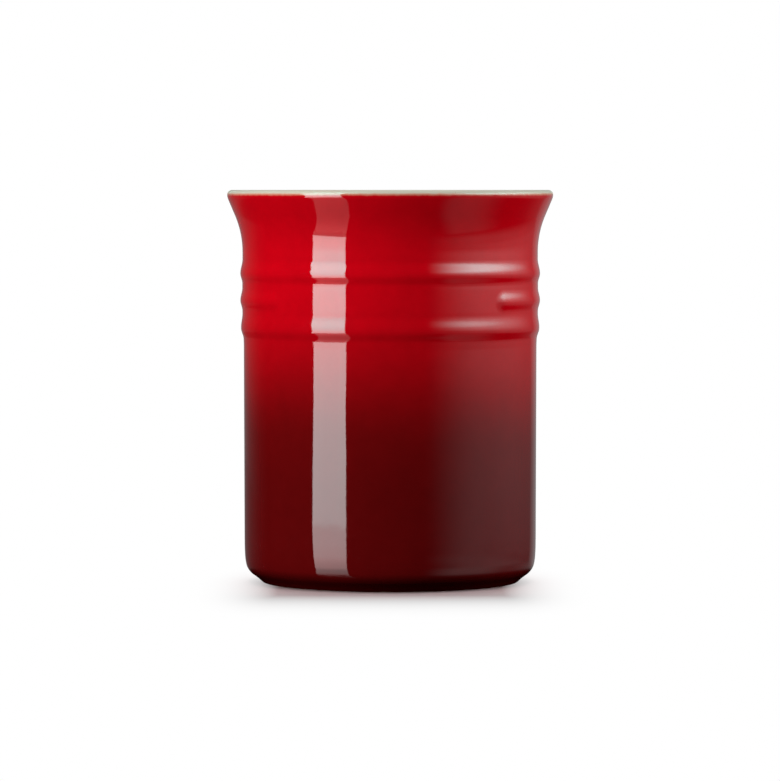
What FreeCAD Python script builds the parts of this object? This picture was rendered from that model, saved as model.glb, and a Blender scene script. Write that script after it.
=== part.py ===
import FreeCAD, Part
import math
import os

# A glazed stoneware utensil crock: a flared mouth over three raised ribs, a straight wall and a foot ring.
# The middle rib stops on both sides of a plain panel at the front.
# Lengths are millimetres, +Z is up and the front faces -Y. The origin is the middle of the resting face.
# Sizes are those of the glazed surface unless the name says clay.

# Main sizes: the steps lead inwards from the rim to the neck, the wall and the foot
overall_height = 150.0
rim_radius = 62.3
flare_reach = 5.78
neck_step = 0.47
wall_taper = 0.3
foot_inset = 6.9

# Mouth: the flare is a cone that would meet the neck this far below the rim, eased in by a wide round
flare_drop = 16.4
flare_round = 36.0
lip_round = 1.9
rim_thickness = 5.0

# Ribs: their heights stand above a straight line from the wall to the neck
top_rib_drop = 31.6
rib_pitch = 10.5
rib_height = 0.95
rib_half_width = 3.9
rib_round = 6.0
valley_height = 0.27
valley_round = 8.0
neck_flank = 4.8

# Middle rib: half the angle of its gap at the front, and how deep its edges sit in the wall
panel_half_angle = 53.0
rib_seat = 0.15

# Clay and glaze
clay_wall = 4.4
clay_floor = 4.5
glaze_thickness = 0.5
floor_round = 8.0

# Foot: a bare clay ring under a bevel that rounds up into the wall
foot_width = 5.0
foot_height = 0.4
foot_edge_round = 0.2
foot_fillet = 0.3
bevel_height = 5.7
base_round = 8.0
glaze_line = 0.2
recess_depth = 1.8
recess_round = 0.6

# How far a shape reaches into another that it is joined to or cut by
overrun = 0.6

# Places that follow from the sizes
neck_radius = rim_radius - flare_reach
wall_top_radius = neck_radius - neck_step
wall_foot_radius = wall_top_radius - wall_taper
foot_radius = wall_foot_radius - foot_inset
lip_line = overall_height - lip_round
flare_height = overall_height - flare_drop
wall = clay_wall + 2 * glaze_thickness
floor_height = recess_depth + 2 * glaze_thickness + clay_floor
clay_foot_bore = foot_radius - foot_width
top_rib = overall_height - top_rib_drop
middle_rib = top_rib - rib_pitch
bottom_rib = middle_rib - rib_pitch
ribs_foot = bottom_rib - rib_half_width
ribs_head = top_rib + neck_flank

# Directions
full_turn = 360.0
front_azimuth = -90.0
origin = FreeCAD.Vector(0, 0, 0)
up = FreeCAD.Vector(0, 0, 1)


def flank_angle(across, drop, rounding):
    """The slope of a straight flank that leaves a crest of this rounding and falls by this drop."""
    level = rounding - drop
    return math.atan2(across, level) - math.acos(rounding / math.hypot(across, level))


def band_radius(height):
    """The straight line from the wall to the neck, which the ribs stand on."""
    along = (height - ribs_foot) / (ribs_head - ribs_foot)
    return wall_top_radius + along * (neck_radius - wall_top_radius)


def valley_corner(height):
    """A corner of the valleys between the ribs. A corner is a radius, a height and a rounding."""
    return (band_radius(height) + valley_height, height, valley_round)


def crest_corner(crest_radius, crest_height, foot):
    """The corner where a rib's crest turns into the flank that comes down to this foot."""
    across = foot[1] - crest_height
    drop = crest_radius - foot[0]
    widest_round = (across ** 2 + drop ** 2) / (2 * drop)
    rounding = min(rib_round, widest_round)
    slope = flank_angle(abs(across), drop, rounding)
    reach = math.copysign(rounding * math.tan(slope / 2), across)
    return (crest_radius, crest_height + reach, rounding)


def rib_corners(crest_height, lower_foot, upper_foot):
    """A whole rib, from its lower foot to its upper foot."""
    crest_radius = band_radius(crest_height) + rib_height
    lower_crest = crest_corner(crest_radius, crest_height, lower_foot)
    upper_crest = crest_corner(crest_radius, crest_height, upper_foot)
    return [lower_foot, lower_crest, upper_crest, upper_foot]


def inset(corners, depth):
    """Moves an open outline to its left, with its rounds kept concentric."""
    runs = zip(corners, corners[1:])
    headings = [math.atan2(end[1] - start[1], end[0] - start[0]) for start, end in runs]
    moved = []
    for place, (radius, height, rounding) in enumerate(corners):
        before = headings[max(place - 1, 0)]
        after = headings[min(place, len(headings) - 1)]
        half_turn = math.remainder(after - before, math.tau) / 2
        normal = before + half_turn
        reach = depth / math.cos(half_turn)
        if rounding:
            rounding = max(rounding - math.copysign(depth, half_turn), 0)
        moved.append((radius - reach * math.sin(normal), height + reach * math.cos(normal), rounding))
    return moved


def section(corners):
    """A flat face inside a closed outline of straight runs and tangent arcs, each limited by its runs."""
    points = [FreeCAD.Vector(radius, 0, height) for radius, height, rounding in corners]
    runs = [after - before for before, after in zip(points, points[1:] + points[:1])]
    half_turns = [runs[place - 1].getAngle(run) / 2 for place, run in enumerate(runs)]
    reaches = [corner[2] * math.tan(half_turn) for corner, half_turn in zip(corners, half_turns)]
    wanted = [first + second for first, second in zip(reaches, reaches[1:] + reaches[:1])]
    fits = [min(run.Length / want, 1) if want else 1 for run, want in zip(runs, wanted)]
    turns = []
    for place, point in enumerate(points):
        reach = reaches[place] * min(fits[place - 1], fits[place])
        back = FreeCAD.Vector(runs[place - 1]).normalize()
        ahead = FreeCAD.Vector(runs[place]).normalize()
        middle = point
        if reach:
            middle = point + (ahead - back).normalize() * reach * math.tan(half_turns[place] / 2)
        turns.append((point - back * reach, middle, point + ahead * reach))
    edges = []
    for (start, middle, end), (next_start, next_middle, next_end) in zip(turns, turns[1:] + turns[:1]):
        if start != end:
            edges.append(Part.Arc(start, middle, end).toShape())
        if not end.isEqual(next_start, Part.Precision.confusion()):
            edges.append(Part.LineSegment(end, next_start).toShape())
    return Part.Face(Part.Wire(edges))


def turned(corners):
    """A solid turned about the crock's axis."""
    return section(corners).revolve(origin, up, full_turn)


def coat(corners, thickness):
    """A coat of this thickness under a glazed outline."""
    return turned(corners + inset(corners, thickness)[::-1])


def outer_outline():
    """The glazed outside, from the edge of the glaze at the foot up to the widest point of the lip."""
    flare = flank_angle(lip_line - flare_height, rim_radius - neck_radius, lip_round)
    foot = [
        (foot_radius + glaze_thickness, glaze_line, 0),
        (foot_radius + glaze_thickness, foot_height, foot_fillet),
        (wall_foot_radius, bevel_height, base_round),
    ]
    wall_corner = (wall_top_radius, ribs_foot, valley_round)
    neck_corner = (neck_radius, ribs_head, valley_round)
    lower_rib = rib_corners(bottom_rib, wall_corner, valley_corner(bottom_rib + rib_half_width))
    upper_rib = rib_corners(top_rib, valley_corner(top_rib - rib_half_width), neck_corner)
    mouth = [
        (neck_radius, flare_height, flare_round),
        (rim_radius, lip_line - lip_round * math.tan(flare / 2), lip_round),
        (rim_radius, lip_line, 0),
    ]
    return foot + lower_rib + upper_rib + mouth


def inner_outline():
    """The glazed inside, from the widest point of the lip over the rim to the middle of the floor."""
    return [
        (rim_radius, lip_line, 0),
        (rim_radius, overall_height, lip_round),
        (rim_radius - rim_thickness, overall_height, lip_round),
        (neck_radius - wall, flare_height, flare_round + wall),
        (wall_foot_radius - wall, floor_height, floor_round),
        (0, floor_height, 0),
    ]


def base_outline():
    """The glazed recess under the floor, from its middle to the inside of the foot ring."""
    return [
        (0, recess_depth, 0),
        (clay_foot_bore - glaze_thickness, recess_depth, recess_round),
        (clay_foot_bore - glaze_thickness, glaze_line, 0),
    ]


def interrupted_rib(depth):
    """The middle rib with a rounded end on each side of the panel, inset by this depth."""
    seat = band_radius(middle_rib - rib_half_width) + valley_height - rib_seat
    root = seat - overrun
    lower_foot = (seat, middle_rib - rib_half_width, 0)
    upper_foot = (seat, middle_rib + rib_half_width, 0)
    side = inset(rib_corners(middle_rib, lower_foot, upper_foot), depth)
    lower_root = (root, side[0][1], 0)
    upper_root = (root, side[-1][1], 0)
    crest = (side[-2][0], middle_rib, 0)
    start = front_azimuth + panel_half_angle
    sweep = full_turn - 2 * panel_half_angle
    rib = section([lower_root] + side + [upper_root]).revolve(origin, up, sweep)
    rib.rotate(origin, up, start)
    half = section([(root, middle_rib, 0), crest] + side[-2:] + [upper_root])
    for azimuth, turn in ((start, 1), (start + sweep, -1)):
        end = half.revolve(FreeCAD.Vector(0, 0, middle_rib), FreeCAD.Vector(turn, 0, 0), full_turn / 2)
        end.rotate(origin, up, azimuth)
        rib = rib.fuse(end)
    return rib


def stoneware_body():
    """The fired clay: foot ring, recessed base, floor, wall, ribs and flared rim in one piece."""
    base = inset(base_outline(), glaze_thickness)
    outside = inset(outer_outline(), glaze_thickness)
    inside = inset(inner_outline(), glaze_thickness)
    foot_ring = [(clay_foot_bore, 0, foot_edge_round), (foot_radius, 0, foot_edge_round)]
    vessel = turned(base[:-1] + foot_ring + outside[1:] + inside[1:])
    return vessel.fuse(interrupted_rib(glaze_thickness))


def outer_glaze(body):
    """The coloured coat on the outside, from the foot to the lip."""
    return coat(outer_outline(), glaze_thickness + overrun).fuse(interrupted_rib(0)).cut(body)


body = stoneware_body()
nodes = {
    "stoneware_body": body,
    "outer_glaze": outer_glaze(body),
    "inner_glaze": coat(inner_outline(), glaze_thickness),
    "base_glaze": coat(base_outline(), glaze_thickness),
}

os.makedirs("parts", exist_ok=True)
for name, shape in nodes.items():
    shape.removeSplitter().exportStep("parts/" + name + ".step")
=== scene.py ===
import bpy
import cmath
import math
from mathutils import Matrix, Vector, noise


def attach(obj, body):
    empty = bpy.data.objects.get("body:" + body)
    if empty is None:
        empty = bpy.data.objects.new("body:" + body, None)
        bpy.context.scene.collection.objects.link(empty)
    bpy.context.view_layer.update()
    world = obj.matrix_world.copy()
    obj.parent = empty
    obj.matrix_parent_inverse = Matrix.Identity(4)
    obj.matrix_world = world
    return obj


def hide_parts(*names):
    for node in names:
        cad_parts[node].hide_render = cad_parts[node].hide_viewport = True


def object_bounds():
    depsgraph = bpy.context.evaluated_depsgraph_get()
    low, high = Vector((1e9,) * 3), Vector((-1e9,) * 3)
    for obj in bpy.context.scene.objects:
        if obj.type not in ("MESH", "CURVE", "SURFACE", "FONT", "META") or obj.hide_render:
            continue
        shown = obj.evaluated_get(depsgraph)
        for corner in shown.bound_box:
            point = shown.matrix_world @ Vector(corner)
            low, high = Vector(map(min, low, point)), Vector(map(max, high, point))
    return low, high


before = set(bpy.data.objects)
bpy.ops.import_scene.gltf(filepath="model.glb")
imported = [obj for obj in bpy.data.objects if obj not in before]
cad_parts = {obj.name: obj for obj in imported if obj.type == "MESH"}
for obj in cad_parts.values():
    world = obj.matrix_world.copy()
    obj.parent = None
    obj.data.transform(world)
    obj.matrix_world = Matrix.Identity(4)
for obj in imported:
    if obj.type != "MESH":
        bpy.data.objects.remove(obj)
cad_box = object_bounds()

# A glazed stoneware utensil crock on a white studio floor.
# The crock's own sizes are millimetres. Its materials, the stage and the camera are in metres.
# Azimuths are degrees from the front, which faces -Y, and grow towards +X.
# Elevations are degrees above level.
MM = 0.001
HALF_TURN = 180

# Main sizes, of which the rim's radius and the height are the frame's
RIM_RADIUS = cad_box[1].x / MM
HEIGHT = cad_box[1].z / MM
RIM_THICKNESS = 5.0
LIP_ROUND = 1.8
LIP_LINE = HEIGHT - LIP_ROUND
FLARE_REACH = 5.78
FLARE_DROP = 16.4
FLARE_ROUND = 36.0
NECK_RADIUS = RIM_RADIUS - FLARE_REACH
FLARE_HEIGHT = HEIGHT - FLARE_DROP
WALL = 5.4
FLOOR_HEIGHT = 7.3
FOOT_RADIUS = 48.6
FOOT_BORE = 43.85
FOOT_EDGE_ROUND = 0.12
RECESS_DEPTH = 1.8

# Coats of glaze: their thickness, their lower edge, and the height below which they thin out to that edge
GLAZE = 0.5
GLAZE_LINE = 0.15
THINNING_HEIGHT = 0.9

# Outlines of the glazed faces and the bare foot, as corners of radius, height and rounding
OUTSIDE = [
    (FOOT_RADIUS, GLAZE_LINE, 0), (49.05, GLAZE_LINE, FOOT_EDGE_ROUND), (50.8, 1.75, 5), (54.92, 4.726, 6.5),
    (55.58, 8.9, 12), (55.8, 11.6, 60), (55.88, 17, 300), (56.05, 91, 40), (56.58, 103.2, 60),
    (56.62, 113, 60), (NECK_RADIUS, 123.6, 40), (NECK_RADIUS, FLARE_HEIGHT, FLARE_ROUND),
    (RIM_RADIUS, 147.27, 4.5), (RIM_RADIUS, LIP_LINE, 0),
]
INSIDE = [
    (RIM_RADIUS, LIP_LINE, 0), (RIM_RADIUS, HEIGHT, LIP_ROUND), (RIM_RADIUS - RIM_THICKNESS, HEIGHT, 1.9),
    (NECK_RADIUS - WALL, FLARE_HEIGHT, FLARE_ROUND + WALL), (50.25, FLOOR_HEIGHT, 8), (0, FLOOR_HEIGHT, 0),
]
RECESS = [
    (0, RECESS_DEPTH, 0), (FOOT_BORE - GLAZE, RECESS_DEPTH, 0.6), (FOOT_BORE - GLAZE, GLAZE_LINE, 0.15),
    (FOOT_BORE, GLAZE_LINE, 0),
]
FOOT_RING = [
    (FOOT_BORE, GLAZE_LINE, 0), (FOOT_BORE, 0, FOOT_EDGE_ROUND), (FOOT_RADIUS, 0, FOOT_EDGE_ROUND),
    (FOOT_RADIUS, GLAZE_LINE, 0),
]

# Ribs: the height of the crest, how far it stands out, and half its width below and above it
RIBS = [(97.1, 0.80, 3.9, 6.1), (107.9, 0.76, 4.1, 4.7), (118.2, 0.79, 3.9, 5.4)]

# Broken rib: which one it is, its radius, the azimuths where it ends, and the length of its fading ends
BROKEN_RIB = 1
RIB_RADIUS = 57.316
PANEL_EDGES = (-51.9, 49.3)
PANEL_EASE = 5.5

# Radius outside which a point belongs to the outer wall, with its ribs and its unevenness
OUTER_WALL = 53.0

# Unevenness of the thrown wall: its depth, its waves round and up the crock, and where it starts and ends
UNEVENNESS = 0.05
UNEVEN_WAVES = (1.6, 0.022)
UNEVEN_HEIGHTS = ((4, 12), (132, 146))

# Wandering of the glaze's lower edge: its reach, its waves round and out from the axis, and its upper end
EDGE_WANDER = 0.06
EDGE_WAVES = (9, 0.04)
EDGE_TOP = 1.2

# Rows of the mesh, closer at the ribs and in arcs
ROW = 3.0
CLOSE_ROW = 0.6
CLOSE_HEIGHTS = (90, 126)
ARC_STEP = math.radians(6)

# Columns of the mesh, in degrees, closer at the ends of the broken rib
COLUMN = 1.25
CLOSE_COLUMN = 0.4
CLOSE_AZIMUTHS = (42.0, 56.0)

# The angle from which an edge of the mesh is sharp, and the distance at which two points are one
CREASE = math.radians(50)
TOUCH = 1e-6


def smooth(value, start, end):
    """Rises smoothly from 0 at start to 1 at end."""
    share = min(max((value - start) / (end - start), 0), 1)
    return share * share * (3 - 2 * share)


def window(value, opening, closing):
    """Rises smoothly to 1 over the first range and falls back to 0 over the second."""
    return smooth(value, *opening) * (1 - smooth(value, *closing))


def row_at(height):
    """The spacing of rows: close where ribs are, wide on the plain wall and the floors."""
    return CLOSE_ROW if CLOSE_HEIGHTS[0] < height < CLOSE_HEIGHTS[1] else ROW


def outline(corners):
    """Closely spaced points, as radius + height j, along an outline with its corners rounded."""
    places = [complex(radius, height) for radius, height, rounding in corners]
    roundings = [rounding for radius, height, rounding in corners]
    arcs = [places[0]]
    for before, here, after, rounding in zip(places, places[1:], places[2:], roundings[1:]):
        back = (here - before) / abs(here - before)
        ahead = (after - here) / abs(after - here)
        turn = cmath.phase(ahead / back)
        spoke = back * 1j * math.copysign(rounding, turn)
        start = here - back * rounding * math.tan(abs(turn) / 2)
        steps = max(math.ceil(abs(turn) / ARC_STEP), math.ceil(abs(turn) * rounding / CLOSE_ROW))
        arcs += [start + spoke * (1 - cmath.exp(1j * turn * step / steps)) for step in range(steps + 1)]
    arcs.append(places[-1])
    points = [arcs[0]]
    for before, after in zip(arcs, arcs[1:]):
        run = after - before
        if abs(run) > TOUCH:
            steps = math.ceil(abs(run) / row_at((before.imag + after.imag) / 2))
            points += [before + run * (step + 1) / steps for step in range(steps)]
    return points


def under(points):
    """The other face of a coat of glaze: the points moved to their left by its thickness."""
    moved = []
    for place, point in enumerate(points):
        along = points[min(place + 1, len(points) - 1)] - points[max(place - 1, 0)]
        moved.append(point + 1j * along / abs(along) * GLAZE)
    return moved


def thinned(points):
    """Every second point, with both ends kept."""
    return points[:-1:2] + points[-1:]


def clay_face(points):
    """The clay under a coat of glaze, without the stretch where the coat thins out to its lower edge."""
    return [point for point in thinned(under(points)) if point.imag > THINNING_HEIGHT]


def columns():
    """Angles round the crock, in order, closer at the ends of the broken rib."""
    around = [-HALF_TURN]
    while around[-1] < HALF_TURN - CLOSE_COLUMN:
        close = CLOSE_AZIMUTHS[0] <= abs(around[-1]) < CLOSE_AZIMUTHS[1]
        around.append(around[-1] + (CLOSE_COLUMN if close else COLUMN))
    return [math.radians(azimuth) for azimuth in around[:-1]]


def rib_rise(height, angle):
    """How far the ribs lift the wall at this place."""
    rise = 0
    for number, (crest, out, below, above) in enumerate(RIBS):
        across = (height - crest) / (above if height > crest else below)
        along = 0
        if number == BROKEN_RIB:
            start, end = [math.radians(edge) for edge in PANEL_EDGES]
            along = max(min(angle - start, end - angle) * RIB_RADIUS, 0) / PANEL_EASE
        away = min(math.hypot(across, along), 1)
        rise += out * (1 + math.cos(math.pi * away)) / 2
    return rise


def wander(angle, along, waves):
    """A slow noise, between -1 and 1, with these waves round the crock and along it."""
    round_it, along_it = waves
    return noise.noise(Vector((math.sin(angle) * round_it, math.cos(angle) * round_it, along * along_it)))


def shaped(point, angle):
    """A point of an outline as it is at this angle round the crock, in metres."""
    radius, height = point.real, point.imag
    if radius > OUTER_WALL and height < UNEVEN_HEIGHTS[1][1]:
        hollow = UNEVENNESS * (wander(angle, height, UNEVEN_WAVES) + 1) / 2
        radius += rib_rise(height, angle) - hollow * window(height, *UNEVEN_HEIGHTS)
    if GLAZE_LINE - TOUCH < height < EDGE_TOP:
        settled = smooth(height, GLAZE_LINE, EDGE_TOP)
        height += EDGE_WANDER * wander(angle, radius, EDGE_WAVES) * (1 - settled)
    return (radius * math.sin(angle) * MM, -radius * math.cos(angle) * MM, height * MM)


def new_object(name, vertices, faces):
    """An object in the scene, with a mesh of these points and faces."""
    mesh = bpy.data.meshes.new(name)
    mesh.from_pydata(vertices, [], faces)
    thing = bpy.data.objects.new(name, mesh)
    bpy.context.scene.collection.objects.link(thing)
    return thing


def lathe(name, points, closed):
    """A piece turned from these points. The ends of an open outline lie on the axis."""
    vertices, rings, faces = [], [], []
    around = columns()
    for point in points:
        if point.real < TOUCH:
            rings.append([len(vertices)])
            vertices.append((0, 0, point.imag * MM))
        else:
            rings.append(range(len(vertices), len(vertices) + len(around)))
            vertices += [shaped(point, angle) for angle in around]
    pairs = list(zip(rings, rings[1:])) + ([(rings[-1], rings[0])] if closed else [])
    for low, high in pairs:
        for place in range(len(around)):
            after = (place + 1) % len(around)
            corners = [low[place % len(low)], low[after % len(low)]]
            corners += [high[after % len(high)], high[place % len(high)]]
            faces.append(list(dict.fromkeys(corners)))
    piece = new_object(name, vertices, faces)
    piece.data.shade_smooth()
    piece.data.set_sharp_from_angle(angle=CREASE)
    return piece


def emptied(owner):
    """The emptied node tree of a material or a world."""
    owner.use_nodes = True
    owner.node_tree.nodes.clear()
    return owner.node_tree


def new_material(name):
    """A material and its emptied node tree."""
    material = bpy.data.materials.new(name)
    return material, emptied(material)


def add(tree, kind, sockets=None, **settings):
    """A node with these settings. A socket is given a value, or the output that it is linked to."""
    node = tree.nodes.new("ShaderNode" + kind)
    for name, value in settings.items():
        setattr(node, name, value)
    for name, value in (sockets or {}).items():
        socket = node.inputs[name]
        if isinstance(value, bpy.types.NodeSocket):
            tree.links.new(value, socket)
        elif socket.type == "RGBA":
            socket.default_value = (*value, 1)
        else:
            socket.default_value = value
    return node


def surface(tree, shader, output="OutputMaterial"):
    """Ends a node tree with this shader."""
    add(tree, output, {"Surface": shader.outputs[0]})


def object_coords(tree):
    """Places on the object, in metres."""
    return add(tree, "TexCoord").outputs["Object"]


def parted(tree, vector):
    """The X, Y and Z of a vector."""
    return add(tree, "SeparateXYZ", {0: vector}).outputs


def length(tree, vector):
    """The length of a vector."""
    return add(tree, "VectorMath", {0: vector}, operation="LENGTH").outputs["Value"]


def maths(tree, operation, *terms):
    """The result of a sum on numbers or outputs."""
    return add(tree, "Math", dict(enumerate(terms)), operation=operation).outputs[0]


def cloud(tree, coords, scale, detail, roughness=0.5):
    """A noise between 0 and 1, with this many spots to the metre."""
    sockets = {"Vector": coords, "Scale": scale, "Detail": detail, "Roughness": roughness}
    return add(tree, "TexNoise", sockets).outputs["Fac"]


def wavering(tree, coords, reach, scale, detail):
    """A noise that goes this far below and above 0."""
    return maths(tree, "MULTIPLY_ADD", cloud(tree, coords, scale, detail), 2 * reach, -reach)


def ranged(tree, value, start, end, low=0.0, high=1.0, curve="LINEAR"):
    """A value mapped from one range to another."""
    sockets = {"Value": value, "From Min": start, "From Max": end, "To Min": low, "To Max": high}
    return add(tree, "MapRange", sockets, interpolation_type=curve).outputs["Result"]


def eased(tree, value, start, end, low=0.0, high=1.0):
    """A value mapped from one range to another, with a soft start and end."""
    return ranged(tree, value, start, end, low, high, "SMOOTHSTEP")


def mixed(tree, share, first, second):
    """Two colours mixed by this share of the second."""
    return add(tree, "Mix", {0: share, 6: first, 7: second}, data_type="RGBA").outputs[2]


def layered(tree, share, first, second):
    """Two shaders mixed by this share of the second."""
    return add(tree, "MixShader", {0: share, 1: first.outputs[0], 2: second.outputs[0]})


def bumped(tree, height, distance, beneath=None):
    """A bump of this height in metres, on top of the one beneath it."""
    sockets = {"Height": height, "Distance": distance}
    if beneath:
        sockets["Normal"] = beneath
    return add(tree, "Bump", sockets).outputs["Normal"]


# Colours of the glazes and the clay
RED = (0.575, 0.0006, 0.0065)
MAROON = (0.107, 0.0021, 0.0025)
THIN_MAROON = (0.17, 0.006, 0.006)
CREAM = (0.58, 0.57, 0.46)
WARM_CREAM = (0.58, 0.53, 0.42)
CREAM_SPECK = (0.42, 0.31, 0.20)
BLUSH = (0.66, 0.30, 0.20)
CLAY = (0.47, 0.36, 0.25)
PALE_CLAY = (0.66, 0.54, 0.40)
IRON = (0.16, 0.09, 0.05)

# Heights between which one colour or finish gives way to the next, from the foot to the lip
# The first pair of heights is painted shade: below it the red glaze is darkened towards the foot.
FOOT_SHADE_HEIGHTS = (0.0035, 0.0075)
FIRST_RED_HEIGHTS = (0.030, 0.090)
RED_HEIGHTS = (0.054, 0.112)
BLUSH_HEIGHTS = (0.1476, 0.1486)
DULL_HEIGHTS = (0.1483, 0.1487)
CREAM_HEIGHTS = (0.1484, 0.149)

# Radii over which the cream glaze takes on the lip's colours
LIP_RADII = (0.0600, 0.0605)

# How far the heights wander in the spray and at the lip, and how the spray tilts across the crock
SPRAY_WANDER = 0.007
LIP_WANDER = 0.0003
SPRAY_TILT = 0.04

# Strengths of the colours' variation
FIRST_RED_SHARE = 0.15
# The next tone is painted shade: the share of the red glaze's colour that is left at the foot.
FOOT_SHADE_TONE = 0.62
MOTTLE_TONES = (0.93, 1.06)
CREAM_SPECK_SHARE = 0.5
IRON_SHARE = 0.8

# Noise levels: where most of a noise lies, the middle half of it, and those that show as specks
MOST = (0.3, 0.7)
MIDDLE = (0.25, 0.75)
CREAM_SPECKS = (0.70, 0.78)
IRON_SPECKS = (0.72, 0.78)

# Finish: roughness of the glaze, the rim and the clay, the glaze's refraction, and the depths of its relief
GLAZE_ROUGHNESS = (0.025, 0.055)
RIM_ROUGHNESS = 0.3
CLAY_ROUGHNESS = (0.75, 0.95)
GLAZE_IOR = 1.5
WAVE_DEPTH = 0.0001
PEEL_DEPTH = 0.000006
GRAIN_DEPTH = 0.00012


def lip_colour(tree, coords, height, red, cream):
    """The red glaze's edge: it thins to a warm blush and then to the cream of the inside."""
    edge = maths(tree, "ADD", height, wavering(tree, coords, LIP_WANDER, scale=420, detail=3))
    blush = mixed(tree, eased(tree, edge, *BLUSH_HEIGHTS), red, BLUSH)
    return mixed(tree, eased(tree, edge, *CREAM_HEIGHTS), blush, cream)


def glaze_finish(tree, coords, colour, dull=0.0):
    """Fired glaze, at least this dull, with slow waves, fine orange peel and slightly uneven gloss."""
    waves = bumped(tree, cloud(tree, coords, scale=38, detail=1), WAVE_DEPTH)
    peel = bumped(tree, cloud(tree, coords, scale=260, detail=2), PEEL_DEPTH, waves)
    gloss = ranged(tree, cloud(tree, coords, scale=90, detail=3), *MOST, *GLAZE_ROUGHNESS)
    roughness = maths(tree, "MAXIMUM", gloss, dull)
    sockets = {"Base Color": colour, "Roughness": roughness, "Normal": peel, "IOR": GLAZE_IOR}
    surface(tree, add(tree, "BsdfPrincipled", sockets))


def red_glaze(name):
    """Bright red at the top, sprayed over into dark maroon, and painted darker at the foot as shade."""
    material, tree = new_material(name)
    coords = object_coords(tree)
    place = parted(tree, coords)
    spray = wavering(tree, coords, SPRAY_WANDER, scale=15, detail=2)
    tilt = maths(tree, "MULTIPLY", place["X"], SPRAY_TILT)
    level = maths(tree, "ADD", maths(tree, "ADD", place["Z"], spray), tilt)
    first = maths(tree, "MULTIPLY", eased(tree, level, *FIRST_RED_HEIGHTS), FIRST_RED_SHARE)
    share = maths(tree, "MULTIPLY_ADD", eased(tree, level, *RED_HEIGHTS), 1 - FIRST_RED_SHARE, first)
    red = mixed(tree, share, MAROON, RED)
    mottle = ranged(tree, cloud(tree, coords, scale=170, detail=5, roughness=0.65), *MIDDLE, *MOTTLE_TONES)
    # Painted shade: the glaze is darkened towards the foot, where the crock stands in its own shadow.
    pooling_and_foot_shade = eased(tree, place["Z"], *FOOT_SHADE_HEIGHTS, FOOT_SHADE_TONE)
    value = maths(tree, "MULTIPLY", mottle, pooling_and_foot_shade)
    tone = add(tree, "HueSaturation", {"Color": red, "Value": value}).outputs["Color"]
    glaze_finish(tree, coords, lip_colour(tree, coords, place["Z"], tone, CREAM))
    return material


def cream_glaze(name):
    """Cream with faint specks, the same blush where it meets the red at the lip, and dull on the rim."""
    material, tree = new_material(name)
    coords = object_coords(tree)
    height = parted(tree, coords)["Z"]
    pooling_and_foot_shade = mixed(tree, ranged(tree, cloud(tree, coords, scale=24, detail=3), *MOST), WARM_CREAM, CREAM)
    specks = ranged(tree, cloud(tree, coords, scale=900, detail=2), *CREAM_SPECKS)
    specked = mixed(tree, maths(tree, "MULTIPLY", specks, CREAM_SPECK_SHARE), pooling_and_foot_shade, CREAM_SPECK)
    out = add(tree, "VectorMath", {0: coords, 1: (1, 1, 0)}, operation="MULTIPLY").outputs[0]
    outer = ranged(tree, length(tree, out), *LIP_RADII)
    lip = lip_colour(tree, coords, height, RED, specked)
    dull = ranged(tree, height, *DULL_HEIGHTS, 0.0, RIM_ROUGHNESS)
    glaze_finish(tree, coords, mixed(tree, outer, specked, lip), dull)
    return material


def maroon_glaze(name):
    """The thin dark glaze under the floor."""
    material, tree = new_material(name)
    coords = object_coords(tree)
    thin = ranged(tree, cloud(tree, coords, scale=60, detail=4), *MOST)
    glaze_finish(tree, coords, mixed(tree, thin, MAROON, THIN_MAROON))
    return material


def bare_stoneware(name):
    """Fired clay without glaze: sandy grain, iron specks and a dry surface."""
    material, tree = new_material(name)
    coords = object_coords(tree)
    grain = cloud(tree, coords, scale=1500, detail=4, roughness=0.7)
    clay = mixed(tree, ranged(tree, grain, *MOST), CLAY, PALE_CLAY)
    iron = ranged(tree, cloud(tree, coords, scale=1100, detail=1), *IRON_SPECKS)
    specked = mixed(tree, maths(tree, "MULTIPLY", iron, IRON_SHARE), clay, IRON)
    roughness = ranged(tree, grain, *MOST, *CLAY_ROUGHNESS)
    sockets = {"Base Color": specked, "Roughness": roughness, "Normal": bumped(tree, grain, GRAIN_DEPTH)}
    surface(tree, add(tree, "BsdfPrincipled", sockets))
    return material


# The pieces: the clay, and a closed coat for each glaze
outside = outline(OUTSIDE)
inside = outline(INSIDE)
recess = outline(RECESS)
under_outside = clay_face(outside)
under_inside = clay_face(inside)
under_recess = clay_face(recess)
clay = under_recess + outline(FOOT_RING) + under_outside + under_inside[1:]

profiles = {
    "stoneware_body": (clay, False, "bare_stoneware"),
    "outer_glaze": (outside + under_outside[::-1], True, "red_glaze"),
    "inner_glaze": (under_inside[::-1] + inside, False, "cream_glaze"),
    "base_glaze": (recess + under_recess[::-1], False, "maroon_glaze"),
}
makers = {
    "bare_stoneware": bare_stoneware,
    "red_glaze": red_glaze,
    "cream_glaze": cream_glaze,
    "maroon_glaze": maroon_glaze,
}
looks = []
for node, (points, closed, slot) in profiles.items():
    piece = lathe("look_" + node, points, closed)
    looks.append(piece)
    piece.data.materials.append(makers[slot](slot))
    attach(piece, "root")
    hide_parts(node)

# Stage: the middle of the lit space, plain colours, and how far the flat meshes lie under the floor
CENTRE = Vector((0, 0, 0.08))
WHITE = (1, 1, 1)
BLACK = (0, 0, 0)
SHADE_DEPTH = 0.0001
SHEET_DEPTH = 0.0002
GLOW_DEPTH = 0.0003

# Wide dim panel on the right: its level, its loss towards the back, its sides, foot and head
PANEL_LEVEL = 0.455
PANEL_LOSS = 0.325
PANEL_SIDE = (24, 76)
PANEL_LOSS_SIDE = (88, 146)
PANEL_FOOT = -20
PANEL_FOOT_RISE = 5
PANEL_FOOT_SIDE = (60, 170)
PANEL_FOOT_EASE = 8.5
PANEL_HEAD = (40, 46)

# Dimmer lower part of the panel
PANEL_DIM = 0.28
PANEL_DIM_SIDE = (50, 90)
PANEL_DIM_HEAD = (-8.5, -5)

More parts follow.
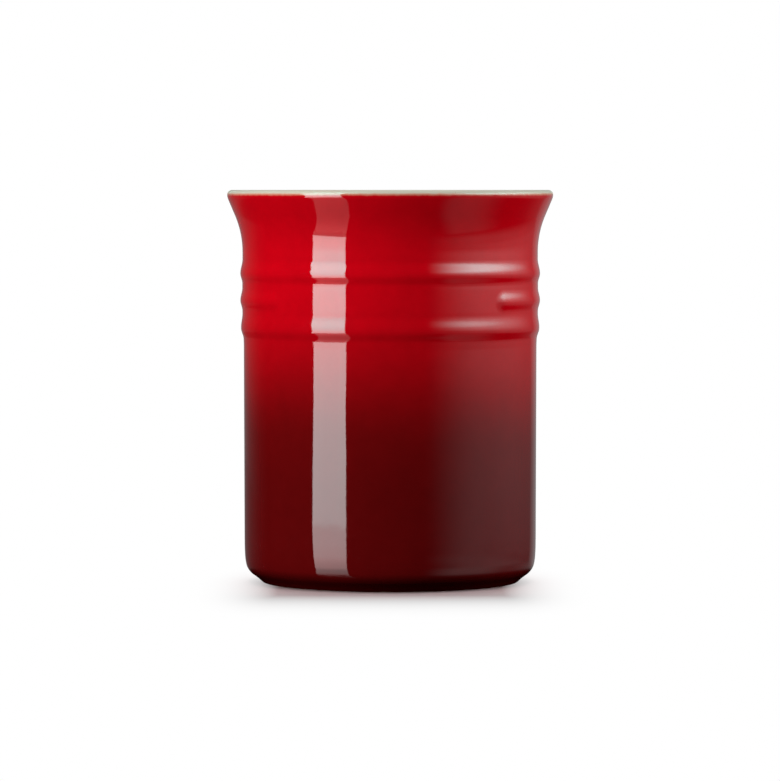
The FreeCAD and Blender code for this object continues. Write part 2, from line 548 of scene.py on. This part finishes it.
# High soft box on the right, and the ground under the panel: sides, ends and levels
HIGH_SIDES = ((27, 72), (74, 142))
HIGH_BY_ELEVATION = [
    (-3, 0), (1.5, 0.55), (6, 1.35), (10, 2.2), (14, 5.5), (17, 8.3), (20, 9), (25, 7.6), (31, 3.5),
    (46, 0),
]
GROUND_LEVEL = 0.22
GROUND_SIDES = ((38, 54), (66, 100))
GROUND_ENDS = ((-56, -48), (-20, -16))

# Pale backdrop behind, with a brighter stretch on the right
BACK_BY_AZIMUTH = [(110, 0), (122, 0.02), (134, 0.06), (147, 0.10), (160, 0.15), (170, 0.2), (180, 0.3)]
BACK_FOOT = (-30, -20)
BACK_GAIN = 1.2
BACK_GAIN_SIDES = ((140, 147), (154, 178))

# Tint of the far studio, and the heights over which it sets in
STUDIO_TINT = (0.6, 1, 1)
STUDIO_TINT_HEIGHTS = (0.22, 0.40)

# Strip light: its level by height, where it leans, where its left edge spreads, its tint and its mesh
STRIP_BY_HEIGHT = [
    (-0.3, 0.5), (-0.05, 0.8), (-0.0155, 1.25), (-0.0145, 6.7), (0, 6.9), (0.025, 7.3), (0.075, 8.0),
    (0.10, 9.2), (0.2, 11.5), (0.4, 13.5),
]
STRIP_LEAN_HEIGHTS = (0.1, 0.28)
STRIP_SPREAD = 1.1
STRIP_SPREAD_HEIGHTS = (0, 0.06)
STRIP_TINT = (0.45, 1, 1)
STRIP_TINT_HEIGHTS = (0.05, 0.15)
STRIP_COLUMNS = 20
STRIP_ROWS = 900

# Polished sheet: azimuth, reach and level along its edge, its hole under the crock, and its soft edge's share
SHEET_REACH = 0.362
SHEET_EDGE = [(-180, 0.9, 0), (-160, 0.8, 1), (-150, 0.75, 1), (-110, 0.46, 1)]
SHEET_EDGE += [(azimuth, SHEET_REACH, 1) for azimuth in range(-75, 0, 15)] + [(-3, SHEET_REACH, 0)]
SHEET_HOLE = 0.04
SHEET_EASE_SHARE = 0.07

# Gloss of the sheet, which is stronger and whiter at a grazing angle
SHEET_RED_POWER = 1.9
SHEET_PALE_POWER = 4.1
SHEET_PALE_LEAST = 0.04
SHEET_ROUGHNESS = 0.03

# Lit floor: its level by reach, and where it fades far off and behind the crock
GLOW_BY_REACH = [
    (0.057, 0), (0.061, 0.12), (0.064, 0.32), (0.07, 0.43), (0.0775, 0.47), (0.09, 0.43), (0.10, 0.41),
    (0.13, 0.41), (0.19, 0.42),
]
GLOW_FADE = (0.13, 0.19)
GLOW_BEHIND = (0.01, 0.05)

# Azimuths where it starts, is full, falls off and has fallen near the foot, and their turn further off
GLOW_AZIMUTHS = (14, 32, 41, 64)
GLOW_TURNS = (5, 20, 21, 46)
GLOW_FAR = (0.062, 0.105)
GLOW_LOSS = 0.7
GLOW_STEP = 2

# Black disc of painted shadow round the foot, seen only in reflections: its level by reach, and the step of
# its mesh
SHADE_BY_REACH = [(0.04, 1), (0.057, 1), (0.066, 0)]
SHADE_STEP = 5

# The crock's shadow on the floor: where it dies out to the sides, in front and behind, and how steeply
SHADOW_SIDE = (0.042, 0.079)
SHADOW_FRONT = (-0.061, -0.168)
SHADOW_BACK = (-0.01, 0.09)
SHADOW_POWER = 3

# Colours of the floor, the reach over which the near one gives way, and that of its black part of painted
# shade
# The near colour is a pink of painted bounce light from the red glaze.
RED_BOUNCE_FLOOR = (0.88, 0.67, 0.68)
FAR_FLOOR = (0.72, 0.72, 0.72)
RED_BOUNCE_REACH = (0.055, 0.090)
SHADED_FLOOR_REACH = (0.055, 0.120)

# Surround: the range of upward direction over which its light from below turns into that from above
HORIZON = (-0.25, 0.25)


def direction(azimuth, elevation=0):
    """The direction that an azimuth and an elevation point to."""
    a, e = math.radians(azimuth), math.radians(elevation)
    return Vector((math.sin(a) * math.cos(e), -math.cos(a) * math.cos(e), math.sin(e)))


def between(table, value):
    """A value read off a table of places and levels."""
    if value <= table[0][0]:
        return table[0][1]
    for (start, low), (end, high) in zip(table, table[1:]):
        if value <= end:
            return low + (high - low) * (value - start) / (end - start)
    return table[-1][1]


def studio_level(azimuth, elevation):
    """How bright the far studio is in this direction, with its panel, soft box, ground and backdrop."""
    panel = smooth(azimuth, *PANEL_SIDE) * (PANEL_LEVEL - PANEL_LOSS * smooth(azimuth, *PANEL_LOSS_SIDE))
    panel *= 1 - PANEL_DIM * smooth(azimuth, *PANEL_DIM_SIDE) * (1 - smooth(elevation, *PANEL_DIM_HEAD))
    foot = PANEL_FOOT + PANEL_FOOT_RISE * smooth(azimuth, *PANEL_FOOT_SIDE)
    panel *= window(elevation, (foot, foot + PANEL_FOOT_EASE), PANEL_HEAD)
    high = window(azimuth, *HIGH_SIDES) * between(HIGH_BY_ELEVATION, elevation)
    ground = GROUND_LEVEL * window(azimuth, *GROUND_SIDES) * window(elevation, *GROUND_ENDS)
    back = between(BACK_BY_AZIMUTH, abs(azimuth)) * smooth(elevation, *BACK_FOOT)
    back *= 1 + BACK_GAIN * window(azimuth, *BACK_GAIN_SIDES)
    return max(panel + high, ground, back)


def staged(name, vertices, faces, material):
    """A stage mesh of one material."""
    thing = new_object(name, vertices, faces)
    thing.data.materials.append(material)
    return thing


def mirrored(name, rows, levels, material, depth=0.0):
    """A stage mesh of rows of points, lowered by this depth, that shows in the glaze's reflections alone.
    Its material reads the level at each point."""
    width = len(rows[0])
    starts = [row * width + place for row in range(len(rows) - 1) for place in range(width - 1)]
    faces = [(start, start + 1, start + width + 1, start + width) for start in starts]
    thing = staged(name, [point for row in rows for point in row], faces, material)
    values = thing.data.attributes.new("level", "FLOAT", "POINT")
    values.data.foreach_set("value", [level for row in levels for level in row])
    thing.location.z = -depth
    thing.visible_camera = False
    thing.visible_diffuse = False
    thing.visible_transmission = False
    thing.visible_volume_scatter = False
    thing.visible_shadow = False


def level_of(tree):
    """The level that a mirrored mesh holds at each point."""
    return add(tree, "Attribute", attribute_name="level").outputs["Fac"]


def glowing(name, rows, levels, tint, tint_heights):
    """A mirrored mesh that glows to these levels, in a tint that sets in between these heights."""
    material, tree = new_material(name)
    material.cycles.emission_sampling = "NONE"
    height = parted(tree, object_coords(tree))["Z"]
    colour = mixed(tree, ranged(tree, height, *tint_heights), WHITE, tint)
    surface(tree, add(tree, "Emission", {"Color": colour, "Strength": level_of(tree)}))
    mirrored(name, rows, levels, material)


def studio_shell(distance):
    """The far studio, as a shell round the crock with a point at each degree."""
    elevations = range(-HALF_TURN // 2, HALF_TURN // 2 + 1)
    azimuths = range(-HALF_TURN, HALF_TURN + 1)
    rows, levels = [], []
    for elevation in elevations:
        rows.append([CENTRE + direction(azimuth, elevation) * distance for azimuth in azimuths])
        levels.append([studio_level(azimuth, elevation) for azimuth in azimuths])
    glowing("studio_shell", rows, levels, STUDIO_TINT, STUDIO_TINT_HEIGHTS)


def strip_light(distance, azimuths, lean, heights):
    """A tall soft strip on the left, close to the crock, that is brighter and leans outwards at its top."""
    foot, head = heights
    shares = [step / STRIP_COLUMNS for step in range(STRIP_COLUMNS + 1)]
    rows, levels = [], []
    for step in range(STRIP_ROWS + 1):
        height = foot + (head - foot) * step / STRIP_ROWS
        leaning = smooth(height, *STRIP_LEAN_HEIGHTS)
        left, right = [edge + shift * leaning for edge, shift in zip(azimuths, lean)]
        left -= STRIP_SPREAD * (1 - smooth(height, *STRIP_SPREAD_HEIGHTS))
        spots = [direction(left + (right - left) * share) * distance for share in shares]
        rows.append([spot + Vector((0, 0, height)) for spot in spots])
        levels.append([between(STRIP_BY_HEIGHT, height)] * len(shares))
    glowing("strip_light", rows, levels, STRIP_TINT, STRIP_TINT_HEIGHTS)


def glossy_sheet():
    """The polished sheet on the crock's left, as the glaze mirrors it, with soft edges."""
    material, tree = new_material("glossy_sheet")
    grazing = add(tree, "LayerWeight").outputs["Facing"]
    red = maths(tree, "POWER", grazing, SHEET_RED_POWER)
    pale = maths(tree, "ADD", maths(tree, "POWER", grazing, SHEET_PALE_POWER), SHEET_PALE_LEAST)
    tint = add(tree, "CombineColor", {"Red": red, "Green": pale, "Blue": pale}).outputs[0]
    sheen = add(tree, "BsdfGlossy", {"Color": tint, "Roughness": SHEET_ROUGHNESS})
    surface(tree, layered(tree, level_of(tree), add(tree, "BsdfTransparent"), sheen))
    rows, levels = [], []
    for share, level in ((0, 1), (1 - SHEET_EASE_SHARE, 1), (1 + SHEET_EASE_SHARE, 0)):
        reaches = [max(reach * share, SHEET_HOLE) for azimuth, reach, end in SHEET_EDGE]
        rows.append([direction(edge[0]) * reach for edge, reach in zip(SHEET_EDGE, reaches)])
        levels.append([level * end for azimuth, reach, end in SHEET_EDGE])
    mirrored("glossy_sheet", rows, levels, material, SHEET_DEPTH)


def floor_glow():
    """The lit floor close to the crock's right, as the glaze mirrors it."""
    material, tree = new_material("floor_glow")
    material.cycles.emission_sampling = "NONE"
    coords = object_coords(tree)
    far_off = ranged(tree, length(tree, coords), *GLOW_FADE)
    behind = ranged(tree, parted(tree, coords)["Y"], *GLOW_BEHIND)
    glow = add(tree, "Emission", {"Color": WHITE, "Strength": level_of(tree)})
    gone = maths(tree, "MAXIMUM", far_off, behind)
    surface(tree, layered(tree, gone, glow, add(tree, "BsdfTransparent")))
    around = range(0, HALF_TURN + 1, GLOW_STEP)
    rows, levels = [], []
    for reach, level in GLOW_BY_REACH:
        far = smooth(reach, *GLOW_FAR)
        start, full, late, end = [near + far * turn for near, turn in zip(GLOW_AZIMUTHS, GLOW_TURNS)]
        lost = [GLOW_LOSS * smooth(azimuth, late, end) for azimuth in around]
        lit = [smooth(azimuth, start, full) * (1 - loss) for azimuth, loss in zip(around, lost)]
        rows.append([direction(azimuth) * reach for azimuth in around])
        levels.append([level * share for share in lit])
    mirrored("floor_glow", rows, levels, material, GLOW_DEPTH)


def foot_shade():
    """The floor's shadow close round the foot, painted as a black disc that the glaze mirrors."""
    material, tree = new_material("foot_shade")
    dark = add(tree, "BsdfDiffuse", {"Color": BLACK})
    surface(tree, layered(tree, level_of(tree), add(tree, "BsdfTransparent"), dark))
    around = range(-HALF_TURN, HALF_TURN + 1, SHADE_STEP)
    rows = [[direction(azimuth) * reach for azimuth in around] for reach, level in SHADE_BY_REACH]
    levels = [[level] * len(around) for reach, level in SHADE_BY_REACH]
    mirrored("foot_shade", rows, levels, material, SHADE_DEPTH)


def floor(size):
    """A white floor that keeps the crock's shadow near it, with a pink of painted bounce light from the red
    glaze close to the foot.
    It shows as plain white further off, and lets light from below reach the crock except close to its foot,
    where it is painted black as shade."""
    material, tree = new_material("floor")
    coords = object_coords(tree)
    place = parted(tree, coords)
    reach = length(tree, coords)
    side = ranged(tree, maths(tree, "ABSOLUTE", place["X"]), *SHADOW_SIDE)
    front = ranged(tree, place["Y"], *SHADOW_FRONT)
    behind = ranged(tree, place["Y"], *SHADOW_BACK)
    away = maths(tree, "MAXIMUM", front, behind)
    gone = length(tree, add(tree, "CombineXYZ", {"X": side, "Y": away}).outputs[0])
    left = maths(tree, "MAXIMUM", maths(tree, "SUBTRACT", 1, gone), 0)
    # Painted bounce light: the floor is tinted pink close to the red crock's foot.
    colour = mixed(tree, ranged(tree, reach, *RED_BOUNCE_REACH), RED_BOUNCE_FLOOR, FAR_FLOOR)
    paint = add(tree, "BsdfDiffuse", {"Color": colour})
    white = add(tree, "Emission", {"Color": WHITE, "Strength": 1})
    shown = layered(tree, maths(tree, "POWER", left, SHADOW_POWER), white, paint)
    # Painted shade: to light from below, the floor is black close to the foot, where it lies in the crock's
    # shadow.
    dark = add(tree, "BsdfDiffuse", {"Color": BLACK})
    close_by = eased(tree, reach, *SHADED_FLOOR_REACH, 1, 0)
    unseen = layered(tree, close_by, add(tree, "BsdfTransparent"), dark)
    surface(tree, layered(tree, add(tree, "LightPath").outputs["Is Camera Ray"], unseen, shown))
    half = size / 2
    corners = [(-half, -half, 0), (half, -half, 0), (half, half, 0), (-half, half, 0)]
    ground = staged("floor", corners, [(0, 1, 2, 3)], material)
    ground.visible_glossy = False
    return ground


def soft_light(name, azimuth, elevation, distance, size, level, lit):
    """A soft light on these objects that lights a white one facing it to this level, and isn't mirrored."""
    data = bpy.data.lights.new(name, "AREA")
    data.shape = "DISK"
    data.size = size
    data.energy = level * math.pi ** 2 * distance ** 2
    lamp = bpy.data.objects.new(name, data)
    towards = direction(azimuth, elevation)
    lamp.location = CENTRE + towards * distance
    lamp.rotation_euler = towards.to_track_quat("Z", "Y").to_euler()
    lamp.visible_glossy = False
    lamp.light_linking.receiver_collection = bpy.data.collections.new(name + "_lights")
    for thing in lit:
        lamp.light_linking.receiver_collection.objects.link(thing)
    bpy.context.scene.collection.objects.link(lamp)


def surroundings(above, below):
    """White to the camera and in reflections, and an even light on the crock that is dimmer from below."""
    world = bpy.data.worlds.new("surroundings")
    tree = emptied(world)
    path = add(tree, "LightPath").outputs
    shown = maths(tree, "MAXIMUM", path["Is Camera Ray"], path["Is Glossy Ray"])
    shown = maths(tree, "MAXIMUM", shown, path["Is Transmission Ray"])
    up = parted(tree, add(tree, "TexCoord").outputs["Generated"])["Z"]
    ambient = eased(tree, up, *HORIZON, below, above)
    strength = add(tree, "Mix", {0: shown, 2: ambient, 3: 1}).outputs[0]
    light = add(tree, "Background", {"Color": WHITE, "Strength": strength})
    surface(tree, light, "OutputWorld")
    bpy.context.scene.world = world


studio_shell(distance=1.2)
strip_light(distance=0.47, azimuths=(-58.5, -32.65), lean=(-3.2, -0.75), heights=(-0.3, 0.6))
glossy_sheet()
floor_glow()
foot_shade()
ground = floor(size=8.0)
soft_light("key", azimuth=-60, elevation=16, distance=2.0, size=0.9, level=0.70, lit=looks)
soft_light("second", azimuth=95, elevation=16, distance=2.0, size=0.9, level=0.53, lit=looks)
soft_light("top", azimuth=180, elevation=64, distance=1.9, size=1.2, level=0.42, lit=[ground])
surroundings(above=0.66, below=0.17)

# Camera: level with the rim, far off in front, aimed at the middle of the picture. Its focus is in pixels.
EYE = Vector((-0.00006, -1.704, 0.150))
AIM = Vector((-0.00006, 0, 0.0732))
FOCUS = 4450.0
PICTURE_HEIGHT = 781.0
SENSOR = 36.0

lens = bpy.data.cameras.new("camera")
lens.sensor_width = SENSOR
lens.lens = FOCUS * SENSOR / PICTURE_HEIGHT
camera = bpy.data.objects.new("camera", lens)
camera.location = EYE
camera.rotation_euler = (AIM - EYE).to_track_quat("-Z", "Y").to_euler()
bpy.context.scene.collection.objects.link(camera)
bpy.context.scene.camera = camera
bpy.context.scene.view_settings.view_transform = "Standard"
